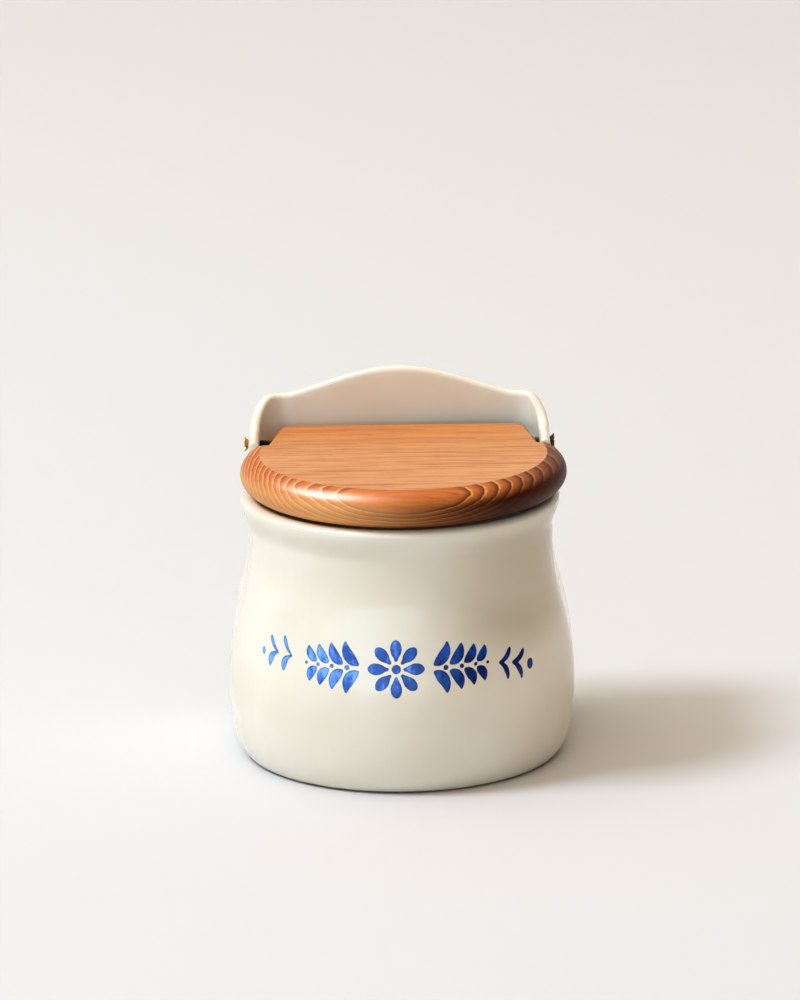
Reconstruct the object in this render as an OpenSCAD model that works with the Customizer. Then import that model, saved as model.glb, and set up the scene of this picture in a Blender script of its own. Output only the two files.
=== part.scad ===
// Salt box with a hinged lid: a glazed stoneware crock with a round belly and a flat back,
// whose rim runs up into two cheeks and an arched backboard, and a wooden lid that swings
// on two countersunk brass screws put through the cheeks.
// Millimetres. Z is up and the front faces -Y. The origin is on the surface that the crock
// stands on, midway between its belly and its flat back. The shapes below are drawn from the
// middle of the round front, and each piece is then moved to that origin.

/* [Crock plan] */
// Radius of the belly where the crock is widest
belly_r = 70.8; // [67:0.1:76]
// Radius of the waist, which is also half the width over the cheeks
waist_r = 62; // [60.5:0.1:63]
// Distance from the middle of the round front to the flat back
back_y = 58; // [56.5:0.5:70]
// Corner radius between the sides and the flat back
corner_r = 15; // [12:0.5:17]
// Thickness of the wall
wall_t = 4.4; // [3.8:0.1:5]

/* [Crock profile] */
// Height at which the belly is widest
belly_z = 32; // [24:1:44]
// Height at which the belly runs into the straight waist
waist_z = 88; // [80:0.5:92]
// Height at which the waist runs out into the rolled lip
neck_z = 95; // [92.5:0.5:98]
// How far the wall tucks in from the belly to the foot
foot_tuck = 11; // [7:0.5:15]
// Fullness of the curve from the belly to the foot, where 2 is an ellipse
foot_full = 2.5; // [2:0.1:3.2]
// How far the flat back tucks in at the foot
back_tuck = 3.5; // [1:0.5:6]
// Height over which the flat back tucks in
back_tuck_h = 8; // [5:0.5:14]
// Top of the rim under the lid
rim_z = 108.7; // [104:0.1:112]
// How far the rolled lip stands out from the waist, which thickens the rim by as much
lip_out = 3; // [1:0.1:4]
// Height of the floor inside
floor_z = 6; // [4:0.5:10]
// Radius between the floor and the wall inside
floor_round = 7; // [3:0.5:12]
// Width of the foot ring
foot_w = 9; // [5:0.5:14]
// Depth of the recess inside the foot ring
foot_recess = 1.4; // [0.6:0.1:2.4]

/* [Cheeks and backboard] */
// Height of the cheeks above the rim
cheek_h = 15.8; // [13:0.1:20]
// Gap between the lid's shoulders and the front edge of each cheek
cheek_gap = 1.5; // [0.8:0.1:3]
// Length over which the front edge of a cheek rises
cheek_rise = 3; // [2:0.1:5]
// Height of the backboard's shoulders above the cheeks
shoulder_h = 11.8; // [7:0.1:15]
// Length of the sweep from a cheek up to a shoulder
sweep_len = 20; // [14:0.5:26]
// How far in front of the rear corner the sweep up to a shoulder starts
sweep_start = 4; // [0:0.5:8]
// Height of the backboard's crown above its shoulders
crown_h = 11.1; // [4:0.1:18]
// Fullness of the arch from 0, an even wave, to 1, a plain bow
arch_full = 0.6; // [0:0.05:1]
// Half the width of the backboard's arch
arch_half = 46; // [36:0.5:46]

/* [Lid] */
// Radius of the lid's round front
lid_r = 66.5; // [65.6:0.1:68]
// Thickness of the lid
lid_t = 15.6; // [12:0.1:18]
// Gap between the lid and the rim it rests over
lid_gap = 0.3; // [0.2:0.05:0.6]
// Depth of the rounded front edge, from its crease to the lid's outline
nose_d = 7.9; // [4:0.1:9]
// Angle at which the rounded edge leaves the lid's flat faces
nose_crease = 14; // [4:1:30]
// Distance of the lid's shoulders behind the middle of its round front
notch_y = 15; // [10:0.5:18]
// Half the width of the tongue at the shoulders
tongue_half = 55.2; // [50:0.1:55.4]
// Taper of each side of the tongue
tongue_taper = 10; // [5:0.5:12]
// Radius of the tongue's rear corners, seen from above
tongue_corner = 9; // [5:0.5:11]
// Radius of the tongue's rear edge, seen from the side
tongue_round = 3; // [2.6:0.1:5]
// How far the lid sits to the right on its screws
lid_float = 1.5; // [0:0.1:2]

/* [Hinge] */
// Distance from the hinge axis to the inner face of the backboard
axis_to_board = 11.6; // [11:0.1:13]
// Height of the hinge axis above the underside of the lid
axis_above_lid = 9; // [7:0.1:9.4]
// Distance from the hinge axis to the rear edge of the tongue
axis_to_edge = 6.5; // [5:0.1:7]
// Diameter of a hinge screw's shank
screw_d = 3; // [2.6:0.1:3.5]
// Diameter of a hinge screw's head
screw_head_d = 6; // [5.5:0.1:7]
// Length of a hinge screw under its head
screw_len = 24; // [20:0.5:30]
// Gap between a screw's shank and its hole in the cheek
screw_play = 0.08; // [0.03:0.01:0.1]
// Gap between a screw's head and the outside of the cheek
head_gap = 0.3; // [0.2:0.05:0.8]

/* [Hidden] */

glaze = [0.95, 0.91, 0.83];
cherry = [0.80, 0.50, 0.29];
brass = [0.80, 0.62, 0.26];

// Heights above the surface that the crock stands on
cheek_z = rim_z + cheek_h;
shoulder_z = cheek_z + shoulder_h;
lid_z = rim_z + lid_gap;
axis_z = lid_z + axis_above_lid;

// Places along Y
inner_back_y = back_y - wall_t;
axis_y = inner_back_y - axis_to_board;
tongue_end_y = axis_y + axis_to_edge;
cheek_y = notch_y + cheek_gap;
side_y = back_y - corner_r;
sweep_y = side_y - sweep_start;

// The foot's curve runs a little below the floor level and is cut flat there
foot_edge = 1;
foot_rise = belly_z + foot_edge;
foot_over = 0.6;
foot_angle = asin((belly_z + foot_over) / foot_rise);
cut = 5;

// Hinge screws
head_rim = 0.3;
slot_w = 0.8;
slot_deep = 0.7;
slot_turn = 25;
pilot_gap = 0.02;
pilot_deep = 1;
head_h = head_rim + (screw_head_d - screw_d) / 2;
head_x = waist_r + head_gap + head_h;
screw_tip_x = waist_r + head_gap - screw_len;

// Steps of the crock's rows and columns
foot_n = 7;
body_n = 8;
neck_n = 6;
rim_n = 8;
round_n = 3;
front_n = 15;
rise_n = 5;
side_n = 3;
corner_n = 7;
back_n = 8;

// Steps of the lid's rounded edge and of the tongue's corners
nose_n = 12;
tongue_n = 8;

// Smooth rise from 0 to 1 as t goes from 0 to 1
function ease(t) = (1 - cos(180 * min(max(t, 0), 1))) / 2;

// Outer radius of the crock between the belly and the waist
function belly_out(z) = belly_r + (waist_r - belly_r) * ease((z - belly_z) / (waist_z - belly_z));

// Outer radius of the crock below the belly
function foot_out(z) =
    belly_r - foot_tuck * (1 - pow(1 - pow((belly_z - z) / foot_rise, foot_full), 1 / foot_full));

// Outer radius of the crock below its waist
function wall_out(z) = z < belly_z ? foot_out(z) : belly_out(z);

// How far the flat back is tucked in at a height
function tuck(z) = z < back_tuck_h
    ? back_tuck * (1 - sqrt(1 - pow((back_tuck_h - z) / (back_tuck_h + foot_edge), 2)))
    : 0;

// How far the inside is drawn in near the floor
function floor_in(z) = z < floor_z + floor_round
    ? floor_round * (1 - sqrt(max(0, 1 - pow((floor_z + floor_round - z) / floor_round, 2))))
    : 0;

// Point of the plan at a place [kind, t], inset from the outer wall, on the right-hand side:
// kind 0 is the round front at angle t, kind 1 the side at share t of its length,
// kind 2 the rear corner at angle t, and kind 3 the back at share t of its half width
function plan(place, r, back, inset) = let (k = place[0], t = place[1], c = corner_r - inset)
    k == 0 ? (r - inset) * [cos(t), sin(t)] :
    k == 1 ? [r - inset, t * (back - corner_r)] :
    k == 2 ? [r - corner_r, back - corner_r] + c * [cos(t), sin(t)] :
    [t * (r - corner_r), back - inset];

// Shape of the backboard's arch, 1 at the crown and 0 at the shoulders
function arch(t) = t < 1 ? arch_full * (1 - t * t) + (1 - arch_full) * ease(1 - t) : 0;

// Height of the rim on a side, at distance y from the middle of the round front
function side_top(y) = rim_z + cheek_h * ease((y - cheek_y) / cheek_rise)
    + shoulder_h * ease((y - sweep_y) / sweep_len);

// Height of the rim at a place
function top_z(place) = let (k = place[0], t = place[1])
    k == 0 ? rim_z :
    k == 1 ? side_top(t * side_y) :
    k == 2 ? side_top(side_y + corner_r * t * PI / 180) :
    shoulder_z + crown_h * arch(t * (waist_r - corner_r) / arch_half);

// Share of the rolled lip that stands out at a place
function lip_share(place) =
    place[0] == 0 ? 1 :
    place[0] == 1 ? 1 - ease(place[1] * side_y / cheek_y) : 0;

// Places round the right-hand half of the rim, from the front to the middle of the back
half_places = concat(
    [for (i = [0 : front_n]) [0, -90 + 90 * i / front_n]],
    [for (i = [1 : side_n]) [1, cheek_y * i / side_n / side_y]],
    [for (i = [1 : rise_n]) [1, (cheek_y + cheek_rise * i / rise_n) / side_y]],
    [for (i = [1 : side_n]) [1, 1 - (1 - (cheek_y + cheek_rise) / side_y) * (1 - i / side_n)]],
    [for (i = [1 : corner_n]) [2, 90 * i / corner_n]],
    [for (i = [1 : back_n]) [3, 1 - i / back_n]]
);
half_n = len(half_places);

// The same places all the way round, each with 1 for the right or -1 for the left
places = concat(
    [for (i = [0 : half_n - 1]) [half_places[i], 1]],
    [for (i = [half_n - 2 : -1 : 1]) [half_places[i], -1]]
);

// Heights of the rows outside and inside, up to the waist
foot_heights = [for (i = [foot_n : -1 : 1]) belly_z - foot_rise * sin(foot_angle * i / foot_n)];
body_heights = [for (i = [0 : body_n]) belly_z + (waist_z - belly_z) * i / body_n];
low_in = floor_z + floor_round;
inside_heights = concat(
    [for (i = [body_n : -1 : 1]) low_in + (waist_z - low_in) * i / body_n],
    [for (i = [0 : round_n]) floor_z + floor_round * (1 - sin(90 * i / round_n))]
);

// Point on a wall at a height below the waist, with the plan inset by a distance
function wall_point(p, z, inset) =
    let (xy = plan(p[0], wall_out(z), back_y - tuck(z), inset)) [p[1] * xy[0], xy[1], z];

// Point outside on the neck, at share t of the way from the waist to the rim's round
function neck_point(p, t) = let (
        high = top_z(p[0]) - wall_t / 2,
        z = waist_z + (high - waist_z) * t,
        out = lip_out * lip_share(p[0]) * ease((z - neck_z) / (high - neck_z)),
        xy = plan(p[0], waist_r + out, back_y, 0)
    ) [p[1] * xy[0], xy[1], z];

// Point inside the neck at the same height, where the wall is straight
function throat_point(p, t) =
    let (xy = plan(p[0], waist_r, back_y, wall_t)) [p[1] * xy[0], xy[1], neck_point(p, t)[2]];

// Point on the rim's round, which turns through angle a from the outside to the inside
function rim_point(p, a) = let (
        out = lip_out * lip_share(p[0]),
        xy = plan(p[0], waist_r + out, back_y, (wall_t + out) / 2 * (1 - cos(a)))
    ) [p[1] * xy[0], xy[1], top_z(p[0]) - wall_t / 2 * (1 - sin(a))];

// Row of points from the foot, up the outside, over the rim and down the inside to the floor
function section(p) = concat(
    [for (z = foot_heights) wall_point(p, z, 0)],
    [for (z = body_heights) wall_point(p, z, 0)],
    [for (i = [1 : neck_n]) neck_point(p, i / neck_n)],
    [for (i = [1 : rim_n - 1]) rim_point(p, 180 * i / rim_n)],
    [for (i = [neck_n : -1 : 1]) throat_point(p, i / neck_n)],
    [for (z = inside_heights) wall_point(p, z, wall_t + floor_in(z))]
);

// Closed shell through the sections, capped under the foot and over the floor
module shell() {
    sections = [for (p = places) section(p)];
    rows = len(sections[0]);
    cols = len(places);
    mid_y = side_y / 2;
    points = concat(
        [for (s = sections) each s],
        [[0, mid_y, sections[0][0][2]], [0, mid_y, sections[0][rows - 1][2]]]
    );
    faces = [
        for (i = [0 : cols - 1])
        let (a = i * rows, b = ((i + 1) % cols) * rows)
        each concat(
            [for (j = [0 : rows - 2]) each [[a + j, b + j + 1, b + j], [a + j, a + j + 1, b + j + 1]]],
            [[cols * rows, a, b], [cols * rows + 1, b + rows - 1, a + rows - 1]]
        )
    ];
    polyhedron(points = points, faces = faces);
}

// Plan outline of the crock at the surface it stands on, drawn in by a distance
module foot_outline(inset) {
    r = foot_out(0);
    back = back_y - tuck(0);
    c = corner_r - inset;
    intersection() {
        circle(r = r - inset, $fn = 96);
        translate([-r, -r]) square([2 * r, r]);
    }
    for (s = [-1, 1]) translate([s * (r - corner_r), back - corner_r]) circle(r = c, $fn = 48);
    translate([-(r - inset), 0]) square([2 * (r - inset), back - corner_r]);
    translate([-(r - corner_r), 0]) square([2 * (r - corner_r), back - inset]);
}

// Moves a piece from the middle of the round front to the model's origin
module on_foot() {
    translate([0, (belly_r - back_y) / 2, 0]) children();
}

// Cylinder along X whose axis is the hinge axis, from x to x + len
module on_axis(r, x, len) {
    translate([x, axis_y, axis_z]) rotate([0, 90, 0]) cylinder(r = r, h = len, $fn = 48);
}

module crock_body() {
    color(glaze)
    on_foot() difference() {
        shell();
        // Flat foot, with a recess that leaves a ring to stand on
        translate([-2 * belly_r, -2 * belly_r, -cut]) cube([4 * belly_r, 4 * belly_r, cut]);
        translate([0, 0, -cut]) linear_extrude(height = cut + foot_recess) foot_outline(foot_w);
        // Holes for the hinge screws, one through each cheek
        for (s = [-1, 1])
            on_axis(screw_d / 2 + screw_play, s * (waist_r - wall_t / 2) - wall_t, 2 * wall_t);
    }
}

// Half section of the lid's round front, from its centre to the rounded edge
module nose_profile() {
    full = 90 - nose_crease;
    polygon(concat(
        [[0, 0]],
        [for (i = [0 : nose_n]) let (a = full * (2 * i / nose_n - 1)) [
            lid_r - nose_d + nose_d * (cos(a) - cos(full)) / (1 - cos(full)),
            lid_t / 2 * (1 + sin(a) / sin(full))
        ]],
        [[0, lid_t]]
    ));
}

// Outline of the tongue's right-hand half, tapered towards an arc at its rear corner
function tongue_edge() = let (
        slope = tan(tongue_taper),
        end_half = tongue_half - (tongue_end_y - notch_y) * slope,
        arc_x = end_half + tongue_corner * (slope - 1 / cos(tongue_taper)),
        arc_y = tongue_end_y - tongue_corner
    ) concat(
        [[tongue_half, 0], [tongue_half, notch_y]],
        [for (i = [0 : tongue_n]) let (a = tongue_taper + (90 - tongue_taper) * i / tongue_n)
            [arc_x + tongue_corner * cos(a), arc_y + tongue_corner * sin(a)]]
    );

// Plan of the tongue
module tongue_plan() {
    edge = tongue_edge();
    polygon(concat(edge, [for (i = [len(edge) - 1 : -1 : 0]) [-edge[i][0], edge[i][1]]]));
}

// Side view of the tongue, with its rear edge rounded above and below
module tongue_side() {
    square([tongue_end_y - tongue_round, lid_t]);
    translate([0, tongue_round]) square([tongue_end_y, lid_t - 2 * tongue_round]);
    for (z = [tongue_round, lid_t - tongue_round])
        translate([tongue_end_y - tongue_round, z]) circle(r = tongue_round, $fn = 32);
}

module tongue() {
    intersection() {
        linear_extrude(height = lid_t) tongue_plan();
        rotate([90, 0, 90]) translate([0, 0, -lid_r]) linear_extrude(height = 2 * lid_r) tongue_side();
    }
}

module wood_lid() {
    bore_r = screw_d / 2 + pilot_gap;
    color(cherry)
    on_foot() difference() {
        translate([lid_float, 0, lid_z]) union() {
            intersection() {
                rotate_extrude($fn = 180) nose_profile();
                translate([-2 * lid_r, -2 * lid_r, 0]) cube([4 * lid_r, 2 * lid_r + notch_y, lid_t]);
            }
            tongue();
        }
        // Blind holes for the hinge screws
        for (s = [-1, 1])
            on_axis(bore_r, s * (screw_tip_x - pilot_deep + lid_r / 2) - lid_r / 2, lid_r);
    }
}

// Countersunk screw along +X from its head, which is at x = 0
module hinge_screw() {
    point_h = screw_d;
    difference() {
        rotate([0, 90, 0]) rotate_extrude($fn = 48) polygon([
            [0, 0],
            [screw_head_d / 2, 0],
            [screw_head_d / 2, head_rim],
            [screw_d / 2, head_h],
            [screw_d / 2, head_h + screw_len - point_h],
            [0, head_h + screw_len]
        ]);
        translate([-1, -screw_head_d, -slot_w / 2]) cube([1 + slot_deep, 2 * screw_head_d, slot_w]);
    }
}

module hinge_screw_left() {
    color(brass)
    on_foot() translate([-head_x, axis_y, axis_z]) rotate([slot_turn, 0, 0]) hinge_screw();
}

module hinge_screw_right() {
    color(brass)
    on_foot() translate([head_x, axis_y, axis_z]) rotate([-slot_turn, 0, 180]) hinge_screw();
}

crock_body();
wood_lid();
hinge_screw_left();
hinge_screw_right();
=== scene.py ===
"""Looks of a salt box with a hinged lid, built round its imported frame.

The box is a glazed stoneware crock with a round belly, two cheeks and an arched backboard.
A wooden lid swings on two brass screws that pass through the cheeks. Everything is in metres,
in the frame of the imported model: Z is up, the front faces -Y, and the crock stands at Z = 0.
"""

import logging
import math
from dataclasses import dataclass, field
from enum import Enum

import bpy
import numpy as np
from mathutils import Matrix, Vector


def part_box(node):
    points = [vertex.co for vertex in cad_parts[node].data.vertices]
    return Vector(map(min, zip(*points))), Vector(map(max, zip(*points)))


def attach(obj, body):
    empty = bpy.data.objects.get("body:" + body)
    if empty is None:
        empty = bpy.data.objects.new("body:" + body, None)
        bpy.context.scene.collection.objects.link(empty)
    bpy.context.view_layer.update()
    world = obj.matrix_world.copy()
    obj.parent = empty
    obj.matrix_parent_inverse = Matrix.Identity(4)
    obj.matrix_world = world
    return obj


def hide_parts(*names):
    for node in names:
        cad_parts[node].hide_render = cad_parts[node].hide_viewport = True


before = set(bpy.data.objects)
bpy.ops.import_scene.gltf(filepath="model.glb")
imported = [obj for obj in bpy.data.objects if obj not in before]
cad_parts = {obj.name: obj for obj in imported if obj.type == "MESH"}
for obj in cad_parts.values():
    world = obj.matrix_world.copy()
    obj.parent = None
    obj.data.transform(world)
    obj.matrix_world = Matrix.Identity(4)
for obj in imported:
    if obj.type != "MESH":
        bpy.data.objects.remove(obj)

LOG = logging.getLogger("salt_box")
MM = 0.001

Array = np.ndarray
Colour = tuple[float, float, float, float]
Place = tuple[float, float, float]
Pair = tuple[float, float]
Faces = list[tuple[int, ...]]
Socket = bpy.types.NodeSocket
Wire = Socket | float | Place


class Body(Enum):
    """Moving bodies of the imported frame."""

    CROCK = "crock"
    LID = "lid"


class Slot(Enum):
    """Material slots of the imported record."""

    GLAZE = "glaze"
    LID_WOOD = "lid_wood"
    SCREW_BRASS = "screw_brass"


class Side(Enum):
    """Side of the box that a hinge screw sits on, as the sign of its X."""

    LEFT = -1
    RIGHT = 1


def srgb(red: int, green: int, blue: int) -> Colour:
    """Turns a colour as seen on a screen into a linear one.

    Args:
        red: Red from 0 to 255.
        green: Green from 0 to 255.
        blue: Blue from 0 to 255.

    Returns:
        The linear colour with full alpha.
    """
    def linear(value: float) -> float:
        """Linear share of one channel."""
        return value / 12.92 if value <= 0.04045 else ((value + 0.055) / 1.055) ** 2.4

    return (linear(red / 255), linear(green / 255), linear(blue / 255), 1.0)


def ease(share: Array | float) -> Array:
    """Smooth rise from 0 to 1 as the share goes from 0 to 1."""
    return (1 - np.cos(np.pi * np.clip(share, 0, 1))) / 2


class NodeKit:
    """A node tree and short calls that add nodes to it."""

    def __init__(self, tree: bpy.types.NodeTree) -> None:
        """Takes the tree that the nodes go into."""
        self.tree = tree

    def node(self, kind: str, **settings: object) -> bpy.types.Node:
        """Adds a node.

        Args:
            kind: Short type name, such as "TexNoise".
            settings: Properties to set on the node.

        Returns:
            The new node.
        """
        made = self.tree.nodes.new("ShaderNode" + kind)
        for name, value in settings.items():
            setattr(made, name, value)
        return made

    def feed(self, target: Socket, value: Wire) -> None:
        """Links a socket into an input, or sets the input to a constant.

        Args:
            target: Input socket.
            value: Socket or constant.
        """
        if isinstance(value, Socket):
            self.tree.links.new(value, target)
        else:
            target.default_value = value

    def math(self, operation: str, *values: Wire, clamp: bool = False) -> Socket:
        """Adds a math node.

        Args:
            operation: Blender's name of the operation.
            values: Its one to three inputs.
            clamp: Whether the result is held between 0 and 1.

        Returns:
            The result.
        """
        made = self.node("Math", operation=operation, use_clamp=clamp)
        for target, value in zip(made.inputs, values):
            self.feed(target, value)
        return made.outputs[0]

    def vector(self, operation: str, *values: Wire) -> Socket:
        """Adds a vector math node.

        Args:
            operation: Blender's name of the operation.
            values: Its inputs.

        Returns:
            The result, a number for LENGTH and DOT_PRODUCT.
        """
        made = self.node("VectorMath", operation=operation)
        for target, value in zip(made.inputs, values):
            self.feed(target, value)
        return made.outputs["Value" if operation in ("LENGTH", "DOT_PRODUCT") else "Vector"]

    def place(self, stretch: Place = (1.0, 1.0, 1.0)) -> Socket:
        """Gives the place on the object in millimetres, stretched along its axes.

        Args:
            stretch: Factors along X, Y and Z.

        Returns:
            The stretched place.
        """
        spot = self.node("TexCoord").outputs["Object"]
        return self.vector("MULTIPLY", spot, tuple(f / MM for f in stretch))

    def axes(self, spot: Wire) -> tuple[Socket, Socket, Socket]:
        """Takes a place or a direction apart.

        Args:
            spot: Vector to take apart.

        Returns:
            Its X, Y and Z.
        """
        made = self.node("SeparateXYZ")
        self.feed(made.inputs[0], spot)
        return made.outputs["X"], made.outputs["Y"], made.outputs["Z"]

    def from_line(self, spot: Socket, y: float, z: float) -> Socket:
        """Distance of a place from a line along X.

        Args:
            spot: The place in millimetres.
            y: Y of the line.
            z: Z of the line.

        Returns:
            The distance.
        """
        arm = self.vector("MULTIPLY", self.vector("SUBTRACT", spot, (0.0, y, z)), (0.0, 1.0, 1.0))
        return self.vector("LENGTH", arm)

    def noise(self, place: Wire, size: float, detail: float = 3.0, rough: float = 0.55) -> Socket:
        """Adds fractal noise.

        Args:
            place: Place in millimetres.
            size: Size of the largest blotches in millimetres.
            detail: Number of finer layers.
            rough: Strength of each finer layer.

        Returns:
            The noise from 0 to 1.
        """
        made = self.node("TexNoise", noise_dimensions="3D")
        self.feed(made.inputs["Vector"], place)
        made.inputs["Scale"].default_value = 1 / size
        made.inputs["Detail"].default_value = detail
        made.inputs["Roughness"].default_value = rough
        return made.outputs["Fac"]

    def span(self, value: Wire, low: float, high: float, to_low: float = 0.0, to_high: float = 1.0,
             smooth: bool = True) -> Socket:
        """Maps a span of values onto another, held at its ends.

        Args:
            value: Value to map.
            low: Value that gives to_low.
            high: Value that gives to_high.
            to_low: Result at low.
            to_high: Result at high.
            smooth: Whether the ends are eased.

        Returns:
            The mapped value.
        """
        made = self.node("MapRange", interpolation_type="SMOOTHSTEP" if smooth else "LINEAR")
        for target, number in zip(made.inputs, (value, low, high, to_low, to_high)):
            self.feed(target, number)
        return made.outputs["Result"]

    def ramp(self, value: Wire, stops: list[tuple[float, Colour]]) -> Socket:
        """Adds a colour ramp.

        Args:
            value: Place along the ramp.
            stops: Places and colours, in order.

        Returns:
            The colour.
        """
        made = self.node("ValToRGB")
        bar = made.color_ramp.elements
        while len(bar) < len(stops):
            bar.new(0.5)
        for stop, (spot, colour) in zip(bar, stops):
            stop.position = spot
            stop.color = colour
        self.feed(made.inputs["Fac"], value)
        return made.outputs["Color"]

    def mix(self, share: Wire, first: Wire | Colour, second: Wire | Colour) -> Socket:
        """Mixes two colours.

        Args:
            share: Share of the second.
            first: First colour.
            second: Second colour.

        Returns:
            The mixed colour.
        """
        made = self.node("Mix", data_type="RGBA", blend_type="MIX")
        for name, value in (("Factor_Float", share), ("A_Color", first), ("B_Color", second)):
            target = next(s for s in made.inputs if s.identifier == name)
            self.feed(target, value)
        return next(s for s in made.outputs if s.identifier == "Result_Color")

    def bump(self, height: Wire, depth: float, below: Socket | None = None) -> Socket:
        """Adds a bump.

        Args:
            height: Height from 0 to 1.
            depth: Depth of the full height in millimetres.
            below: Normal of the bump under this one.

        Returns:
            The bumped normal.
        """
        made = self.node("Bump")
        made.inputs["Distance"].default_value = depth * MM
        self.feed(made.inputs["Height"], height)
        if below is not None:
            self.feed(made.inputs["Normal"], below)
        return made.outputs["Normal"]


class Shader(NodeKit):
    """One material and the nodes of its surface."""

    def __init__(self, name: str) -> None:
        """Starts a material that holds only its surface shader.

        Args:
            name: Name of the material.
        """
        self.material = bpy.data.materials.new(name)
        self.material.use_nodes = True
        super().__init__(self.material.node_tree)
        self.surface = self.tree.nodes["Principled BSDF"]

    def done(self, colour: Wire | Colour, roughness: Wire, normal: Socket | None = None,
             **constants: float) -> bpy.types.Material:
        """Wires the surface shader.

        Args:
            colour: Base colour.
            roughness: Roughness.
            normal: Bumped normal.
            constants: Other inputs of the shader, with _ for a space in their names.

        Returns:
            The finished material.
        """
        inputs = self.surface.inputs
        self.feed(inputs["Base Color"], colour)
        self.feed(inputs["Roughness"], roughness)
        if normal is not None:
            self.feed(inputs["Normal"], normal)
        for name, value in constants.items():
            inputs[name.replace("_", " ")].default_value = value
        return self.material


def mesh_piece(name: str, points: Array, faces: Faces,
               materials: list[bpy.types.Material]) -> bpy.types.Object:
    """Makes a smooth mesh object and puts it in the scene.

    Args:
        name: Name of the piece.
        points: Corner points, one row each.
        faces: Corner numbers of each face.
        materials: Materials of the piece, by slot.

    Returns:
        The new object.
    """
    mesh = bpy.data.meshes.new(name)
    mesh.from_pydata(points.tolist(), [], faces)
    mesh.validate()
    for material in materials:
        mesh.materials.append(material)
    mesh.shade_smooth()
    made = bpy.data.objects.new(name, mesh)
    bpy.context.scene.collection.objects.link(made)
    return made


def grid_faces(rows: int, cols: int) -> Faces:
    """Faces of a grid whose columns close into a ring, with a pole at each end.

    Args:
        rows: Number of rows of points.
        cols: Number of points in a row.

    Returns:
        The faces. The poles are the two points after the grid.
    """
    after = [(i + 1) % cols for i in range(cols)]
    body = [(j * cols + i, j * cols + after[i], (j + 1) * cols + after[i], (j + 1) * cols + i)
            for j in range(rows - 1) for i in range(cols)]
    start, end, last = rows * cols, rows * cols + 1, (rows - 1) * cols
    caps = [(start, after[i], i) for i in range(cols)]
    caps += [(end, last + i, last + after[i]) for i in range(cols)]
    return body + caps


def closed_grid(rings: list[Array], start: Place, end: Place) -> tuple[Array, Faces]:
    """Joins rings of points into a closed skin.

    Args:
        rings: Rings of as many points each, from one end to the other.
        start: Pole at the first ring.
        end: Pole at the last ring.

    Returns:
        The points and the faces.
    """
    points = np.vstack([*rings, [start], [end]])
    return points, grid_faces(len(rings), len(rings[0]))


def cut(piece: bpy.types.Object, tool: bpy.types.Object) -> None:
    """Cuts a closed tool out of a closed piece and deletes the tool.

    Args:
        piece: Piece that is cut.
        tool: Closed mesh to take out of it.
    """
    step = piece.modifiers.new("cut", "BOOLEAN")
    step.operation = "DIFFERENCE"
    step.object = tool
    step.solver = "MANIFOLD"
    graph = bpy.context.evaluated_depsgraph_get()
    mesh = bpy.data.meshes.new_from_object(piece.evaluated_get(graph))
    piece.modifiers.clear()
    mesh.name = piece.data.name
    piece.data = mesh
    bpy.data.objects.remove(tool)


def rod(name: str, radius: float, start: Place, length: float, steps: int = 64) -> bpy.types.Object:
    """Makes a closed round rod along +X, for cutting bores.

    Args:
        name: Name of the rod.
        radius: Radius.
        start: Middle of its lower end.
        length: Length along +X.
        steps: Number of sides.

    Returns:
        The rod.
    """
    turn = np.linspace(0, 2 * np.pi, steps, endpoint=False)
    ring = np.stack([np.zeros(steps), np.cos(turn), np.sin(turn)], axis=1) * radius
    rings = [ring + start, ring + start + [length, 0, 0]]
    points, faces = closed_grid(rings, start, (start[0] + length, start[1], start[2]))
    return mesh_piece(name, points, faces, [])


def level_ring(turns: Array, radius: float) -> Array:
    """Points on a level circle round the origin.

    Args:
        turns: Angles of the points.
        radius: Radius of the circle.

    Returns:
        The points, one row each.
    """
    return np.column_stack([np.cos(turns), np.sin(turns), np.zeros(len(turns))]) * radius


def sharpen(piece: bpy.types.Object, degrees: float) -> None:
    """Keeps the edges of a smooth piece crisp where they turn by more than an angle."""
    piece.data.set_sharp_from_angle(angle=math.radians(degrees))


@dataclass(frozen=True)
class Stroke:
    """One stencilled stroke: a soft-ended brush mark along a bent line, in millimetres."""

    start: Pair
    end: Pair
    bend: float = 0.0
    width: float = 3.0
    fullest: float = 0.5
    blunt: float = 0.35
    samples: int = 28

    def distance(self, spots: Array) -> Array:
        """Distance of each spot from the stroke's outline.

        Args:
            spots: Spots on the unrolled wall, one row each.

        Returns:
            The distances, negative inside the stroke.
        """
        share = np.linspace(0, 1, self.samples)
        first, last = np.array(self.start), np.array(self.end)
        across = np.array([first[1] - last[1], last[0] - first[0]])
        line = first + np.outer(share, last - first)
        line += np.outer(4 * share * (1 - share) * self.bend, across)
        warped = share ** (math.log(0.5) / math.log(self.fullest))
        swell = self.blunt + (1 - self.blunt) * np.sin(np.pi * warped)
        gaps = np.linalg.norm(spots[:, None, :] - line[None, :, :], axis=2)
        return (gaps - self.width / 2 * swell[None, :]).min(axis=1)


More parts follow.
